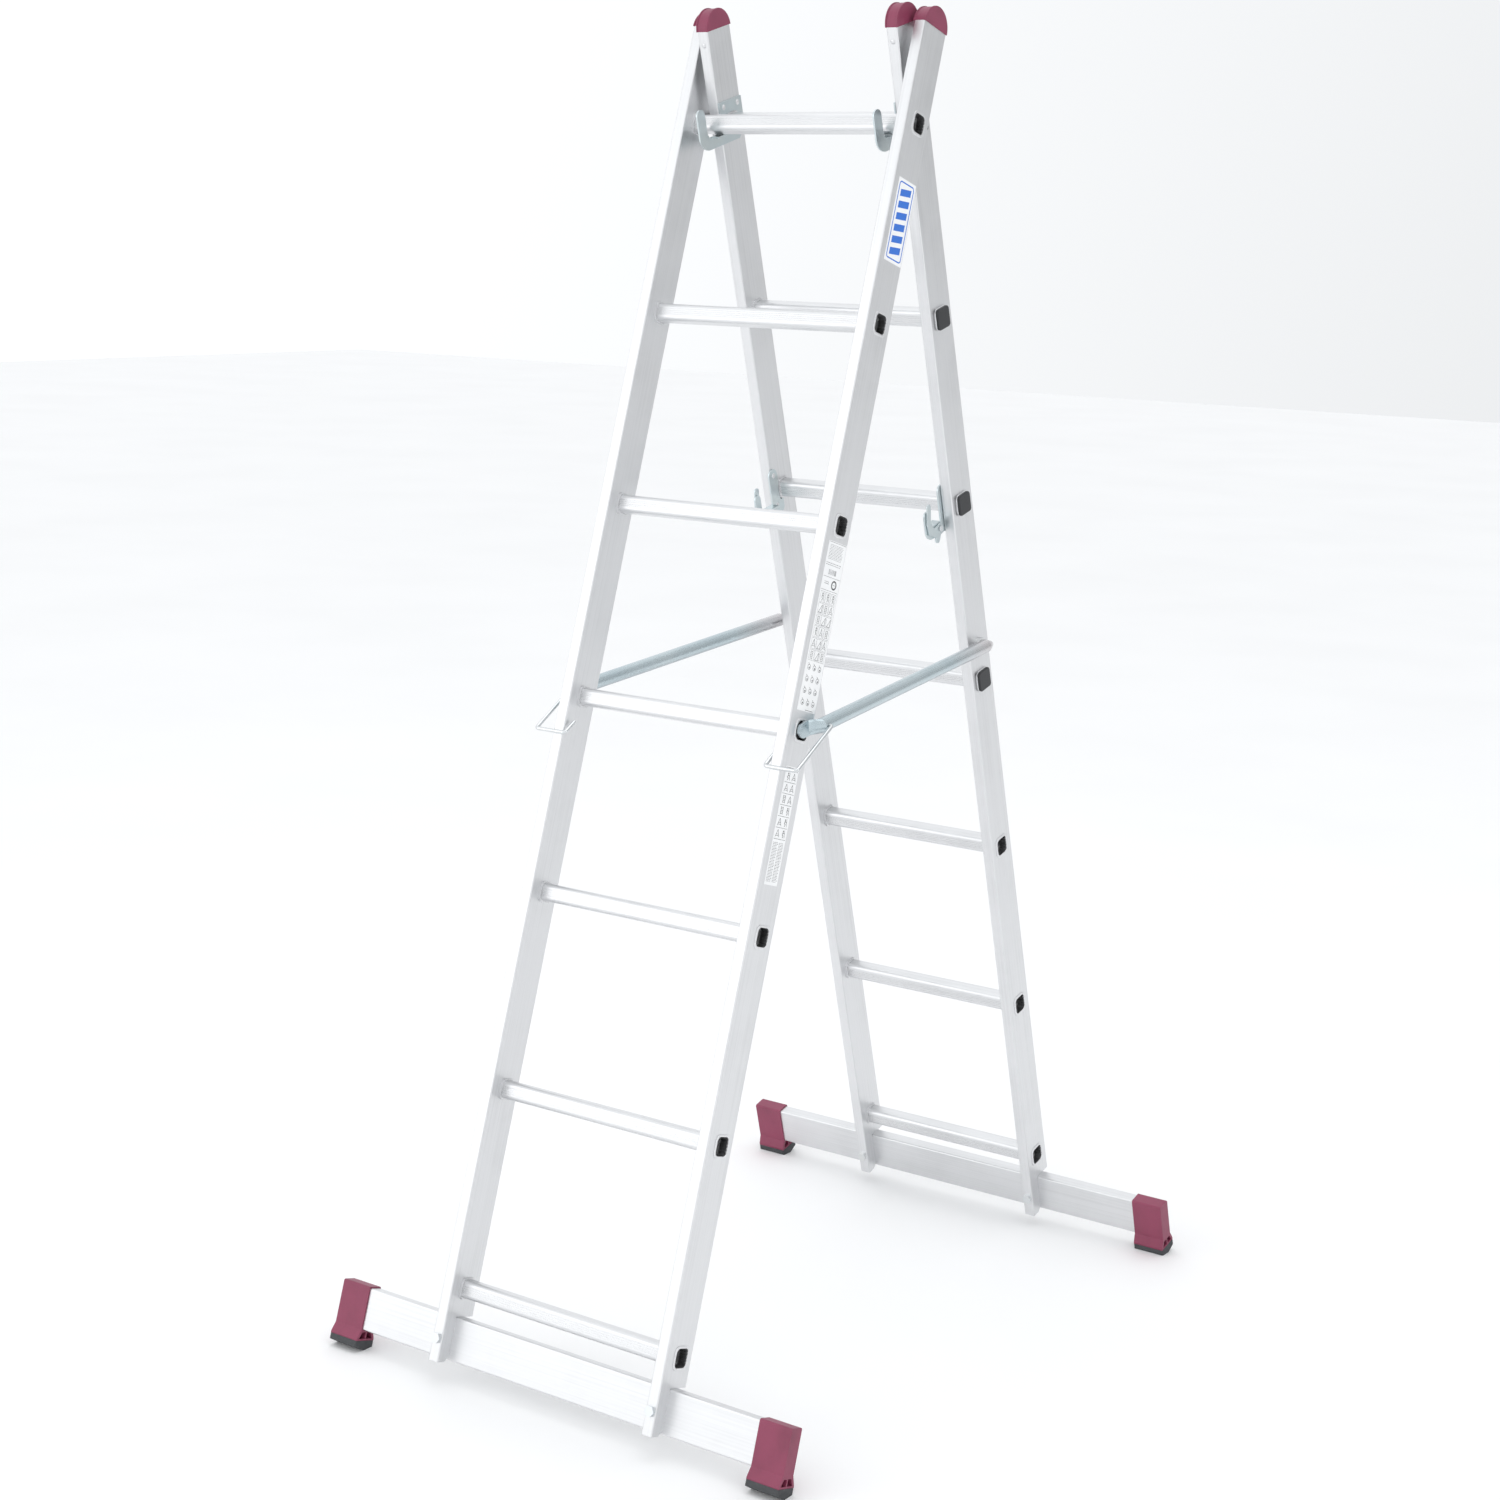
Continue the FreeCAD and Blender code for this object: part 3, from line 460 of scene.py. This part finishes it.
# ---------------------------------------------------------------- printed labels
class Print:
    """Flat ink marks on the outer face of the front right stile, in section millimetres."""

    def __init__(self, name, label):
        self.name = name
        low, high = section_extent(label, "front")
        self.x = high.x + INK_LIFT
        self.y0, self.y1 = low.y, high.y
        self.z0, self.z1 = low.z, high.z
        self.mesh = bmesh.new()

    def face(self, points):
        place = section_frames["front"]
        corners = [self.mesh.verts.new(place @ (Vector((self.x, y, z)) * MM)) for y, z in points]
        self.mesh.faces.new(corners)

    def box(self, y0, y1, z0, z1):
        self.face(((y0, z0), (y1, z0), (y1, z1), (y0, z1)))

    def stroke(self, start, end, width):
        along = (Vector(end) - Vector(start)).normalized()
        side = Vector((-along.y, along.x)) * width / 2
        a, b = Vector(start), Vector(end)
        self.face((a - side, b - side, b + side, a + side))

    def path(self, points, width):
        for start, end in zip(points, points[1:]):
            self.stroke(start, end, width)

    def ring(self, y, z, radius, width, steps=28):
        for index in range(steps):
            arc = []
            for turn, r in ((0, radius - width), (0, radius), (1, radius), (1, radius - width)):
                angle = math.tau * (index + turn) / steps
                arc.append((y + r * math.cos(angle), z + r * math.sin(angle)))
            self.face(arc)

    def disc(self, y, z, radius, steps=20):
        angles = [math.tau * i / steps for i in range(steps)]
        self.face([(y + radius * math.cos(a), z + radius * math.sin(a)) for a in angles])

    def outline(self, y0, y1, z0, z1, width):
        self.box(y0, y1, z0, z0 + width)
        self.box(y0, y1, z1 - width, z1)
        self.box(y0, y0 + width, z0 + width, z1 - width)
        self.box(y1 - width, y1, z0 + width, z1 - width)

    def rounded_outline(self, y0, y1, z0, z1, corner, width):
        """Outline with round corners, drawn as an inner and an outer loop of quads."""
        loops = []
        for inset in (0, width):
            loop = []
            r = corner - inset
            centres = ((y1 - corner, z1 - corner, 0), (y0 + corner, z1 - corner, 90),
                       (y0 + corner, z0 + corner, 180), (y1 - corner, z0 + corner, 270))
            for cy, cz, first in centres:
                for step in range(7):
                    a = math.radians(first + 15 * step)
                    loop.append((cy + r * math.cos(a), cz + r * math.sin(a)))
            loops.append(loop)
        outer, inner = loops
        count = len(outer)
        for i in range(count):
            j = (i + 1) % count
            self.face((outer[i], outer[j], inner[j], inner[i]))

    def build(self, material):
        mesh = bpy.data.meshes.new(self.name)
        self.mesh.normal_update()
        self.mesh.to_mesh(mesh)
        self.mesh.free()
        mesh.materials.append(material)
        piece = bpy.data.objects.new(self.name, mesh)
        bpy.context.scene.collection.objects.link(piece)
        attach(piece, "front_section")


def ladder_sign(p, y, z, w, h, line):
    """Upright ladder: two rails and their rungs."""
    for side in (-1, 1):
        p.stroke((y + side * w * 0.20, z - h * 0.46), (y + side * w * 0.20, z + h * 0.46), line)
    for step in range(5):
        level = z + h * (-0.36 + 0.18 * step)
        p.stroke((y - w * 0.20, level), (y + w * 0.20, level), line * 0.7)


def trestle_sign(p, y, z, w, h, line):
    """Standing A-shape with two ties."""
    for side in (-1, 1):
        p.stroke((y, z + h * 0.44), (y + side * w * 0.36, z - h * 0.44), line)
    for share in (0.2, 0.62):
        reach = w * 0.36 * (0.5 + share / 2)
        p.stroke((y - reach, z - h * 0.44 * share), (y + reach, z - h * 0.44 * share), line * 0.7)


def leaning_sign(p, y, z, w, h, line):
    """Ladder leaning on a wall."""
    p.stroke((y + w * 0.34, z - h * 0.44), (y + w * 0.34, z + h * 0.44), line * 1.2)
    p.stroke((y - w * 0.30, z - h * 0.44), (y + w * 0.30, z + h * 0.36), line)
    p.stroke((y - w * 0.40, z - h * 0.44), (y + w * 0.40, z - h * 0.44), line)


def climber_sign(p, y, z, w, h, line):
    """Figure on a ladder: a head, a back, an arm and a leg."""
    p.disc(y - w * 0.05, z + h * 0.34, h * 0.09)
    p.path(((y - w * 0.05, z + h * 0.24), (y - w * 0.16, z - h * 0.08),
            (y + w * 0.04, z - h * 0.20), (y - w * 0.10, z - h * 0.44)), line * 1.4)
    p.stroke((y - w * 0.08, z + h * 0.16), (y + w * 0.20, z + h * 0.06), line * 1.1)
    p.stroke((y + w * 0.30, z - h * 0.46), (y + w * 0.18, z + h * 0.46), line)


def level_sign(p, y, z, w, h, line):
    """Ring with a short handle and a dark spot."""
    radius = min(w, h) * 0.34
    p.ring(y, z - h * 0.04, radius, line)
    p.disc(y + w * 0.06, z - h * 0.10, radius * 0.34)
    p.stroke((y - w * 0.26, z + h * 0.42), (y - w * 0.05, z + h * 0.24), line)


def text_block(p, chooser, y0, y1, z0, z1, pitch, height):
    """Grey bars in the place of small print."""
    count = int((z1 - z0) / pitch)
    for row in range(count):
        z = z1 - (row + 0.5) * pitch
        y = y0
        while y < y1 - 2.0:
            word = min(chooser.uniform(1.2, 4.0), y1 - y)
            p.box(y, y + word, z - height / 2, z + height / 2)
            y += word + WORD_GAP


def print_guide(chooser, material):
    """Guide label: small print, a band with a round sign, then rows of pictures."""
    p = Print("guide_print", "guide_label")
    y0, y1 = p.y0 + GUIDE_MARGIN, p.y1 - GUIDE_MARGIN
    head_z = p.z1 - GUIDE_HEAD
    band_z = head_z - GUIDE_BAND
    p.box(p.y0 + 1, p.y1 - 1, p.z1 - 1.4, p.z1 - 1.0)
    p.box(p.y0 + 1, p.y1 - 1, head_z - 0.2, head_z + 0.2)
    p.box(p.y0 + 1, p.y1 - 1, band_z - 0.2, band_z + 0.2)
    text_block(p, chooser, y0 + 2, y1 - 4, head_z + 22, p.z1 - 4, 1.9, 0.45)
    text_block(p, chooser, y0, y1 - 2, head_z + 14, head_z + 20, 2.6, 0.6)
    for column in range(9):
        y = y0 + 10 + 2.1 * column
        p.box(y, y + chooser.uniform(0.5, 1.3), head_z + 3.5, head_z + 10.5)
    mid = (head_z + band_z) / 2
    p.ring(y0 + 28, mid, 6.4, 2.2)
    p.stroke((y0 + 25.5, mid), (y0 + 30.5, mid), 0.6)
    text_block(p, chooser, y0 + 4, y0 + 17, mid - 3.4, mid + 3.4, 2.4, 0.7)
    signs = (ladder_sign, trestle_sign, leaning_sign, climber_sign)
    cell_w = (y1 - y0) / GUIDE_COLUMNS
    cell_h = (band_z - p.z0 - 6) / GUIDE_ROWS
    for row in range(GUIDE_ROWS):
        for column in range(GUIDE_COLUMNS):
            y = y0 + (column + 0.5) * cell_w
            z = band_z - 2 - (row + 0.5) * cell_h
            if row < GUIDE_ROWS - GUIDE_LEVEL_ROWS:
                p.outline(y - cell_w * 0.46, y + cell_w * 0.46, z - cell_h * 0.46,
                          z + cell_h * 0.46, 0.3)
                sign = signs[chooser.randrange(len(signs))]
            else:
                sign = level_sign
            sign(p, y, z, cell_w * 0.84, cell_h * 0.80, 0.65)
    p.box(y0 + 16, y1 - 4, p.z0 + 1.6, p.z0 + 2.2)
    p.build(material)


def print_strip(chooser, material):
    """Strip label: ruled cells with a picture in each, then small print."""
    p = Print("strip_print", "strip_label")
    y0, y1 = p.y0 + STRIP_MARGIN, p.y1 - STRIP_MARGIN
    mid_y = (y0 + y1) / 2
    p.box(y0, y1, p.z1 - 2.0, p.z1 - 1.5)
    cells_z = p.z0 + STRIP_PRINT
    cell_h = (p.z1 - 6 - cells_z) / STRIP_ROWS
    for row in range(STRIP_ROWS + 1):
        z = cells_z + row * cell_h
        p.box(y0, y1, z - 0.25, z + 0.25)
    signs = (ladder_sign, climber_sign, trestle_sign)
    for row in range(STRIP_ROWS):
        for side in (-1, 1):
            y = mid_y + side * (y1 - y0) / 4
            z = cells_z + (row + 0.5) * cell_h
            sign = signs[chooser.randrange(len(signs))]
            sign(p, y, z, (y1 - y0) * 0.44, cell_h * 0.76, 0.75)
    text_block(p, chooser, y0 + 1, mid_y - 1, p.z0 + 4, cells_z - 4, 2.0, 0.55)
    text_block(p, chooser, mid_y + 1, y1 - 1, p.z0 + 4, cells_z - 4, 2.0, 0.55)
    p.build(material)


def print_badge(material):
    """Badge: a rounded blue outline round a plain row of heavy slanted bars."""
    p = Print("badge_print", "badge_label")
    p.rounded_outline(p.y0 + 3, p.y1 - 3, p.z0 + 4, p.z1 - 4, 5.0, 1.8)
    mid_y = (p.y0 + p.y1) / 2
    half = (p.y1 - p.y0) / 2 - BADGE_MARGIN
    pitch = (p.z1 - p.z0 - 2 * BADGE_MARGIN) / BADGE_BARS
    for index in range(BADGE_BARS):
        z = p.z0 + BADGE_MARGIN + (index + 0.5) * pitch
        p.face(((mid_y - half, z - pitch * 0.46), (mid_y + half, z - pitch * 0.14),
                (mid_y + half, z + pitch * 0.46), (mid_y - half, z + pitch * 0.14)))
    p.build(material)


# ---------------------------------------------------------------- stage, light, camera
def add_floor():
    bpy.ops.mesh.primitive_plane_add(size=FLOOR_SIZE, location=(0, 0, 0))
    floor = bpy.context.object
    floor.name = "floor"
    floor.data.materials.append(pale_floor("pale_floor"))


def add_light(name, place, target, size, power):
    data = bpy.data.lights.new(name, "AREA")
    data.shape = "RECTANGLE"
    data.size, data.size_y = size
    data.energy = power
    lamp = bpy.data.objects.new(name, data)
    lamp.location = place
    aim = Vector(target) - Vector(place)
    lamp.rotation_euler = aim.to_track_quat("-Z", "Y").to_euler()
    bpy.context.scene.collection.objects.link(lamp)


def add_room():
    """White room, dimmer towards the right rear and brighter overhead."""
    world = bpy.data.worlds.new("white_room")
    world.use_nodes = True
    tree = world.node_tree
    direction = tree.nodes.new("ShaderNodeTexCoord")
    facing = tree.nodes.new("ShaderNodeVectorMath")
    facing.operation = "DOT_PRODUCT"
    facing.inputs[1].default_value = DIM_SIDE
    level = tree.nodes.new("ShaderNodeMapRange")
    fade = {
        "From Min": FADE_START,
        "From Max": FADE_END,
        "To Min": BRIGHT_LEVEL,
        "To Max": DIM_LEVEL,
    }
    for name, value in fade.items():
        level.inputs[name].default_value = value
    background = tree.nodes["Background"]
    background.inputs["Color"].default_value = ROOM_TINT
    tree.links.new(direction.outputs["Generated"], facing.inputs[0])
    tree.links.new(facing.outputs["Value"], level.inputs["Value"])
    tree.links.new(level.outputs["Result"], background.inputs["Strength"])
    bpy.context.scene.world = world


def add_lights():
    """Soft studio light: a big key from the front left, a low top light and a right fill."""
    add_light("key", (-3.0, -4.4, 2.2), (0, 0, 0.9), (3.0, 3.6), KEY_POWER)
    add_light("top", (0.3, 0.2, 4.8), (0, 0, 0.8), (3.6, 3.6), TOP_POWER)
    add_light("right_fill", (4.4, -1.2, 1.6), (0, 0, 0.9), (2.0, 2.6), FILL_POWER)


def add_camera():
    """Camera at the right front, a little above the middle, looking slightly down."""
    yaw, dip, roll = (math.radians(a) for a in (CAMERA_YAW, CAMERA_DIP, CAMERA_ROLL))
    look = Vector((-math.sin(yaw) * math.cos(dip), math.cos(yaw) * math.cos(dip), -math.sin(dip)))
    level = Vector((math.cos(yaw), math.sin(yaw), 0))
    above = level.cross(look)
    right = level * math.cos(roll) + above * math.sin(roll)
    up = above * math.cos(roll) - level * math.sin(roll)
    turn = Matrix((right, up, -look)).transposed()
    data = bpy.data.cameras.new("camera")
    data.sensor_width = CAMERA_SENSOR
    data.lens = CAMERA_LENS
    data.shift_y = CAMERA_SHIFT_Y
    camera = bpy.data.objects.new("camera", data)
    camera.matrix_world = Matrix.Translation(CAMERA_PLACE) @ turn.to_4x4()
    bpy.context.scene.collection.objects.link(camera)
    bpy.context.scene.camera = camera


# ---------------------------------------------------------------- the scene
dress_all()
grey_ink = ink("grey_ink", (0.05, 0.052, 0.055))
blue_ink = ink("blue_ink", (0.004, 0.15, 0.66))
chooser = random.Random(PRINT_SEED)
print_guide(chooser, grey_ink)
print_strip(chooser, grey_ink)
print_badge(blue_ink)
add_floor()
add_room()
add_lights()
add_camera()
bpy.context.scene.view_settings.view_transform = "Standard"
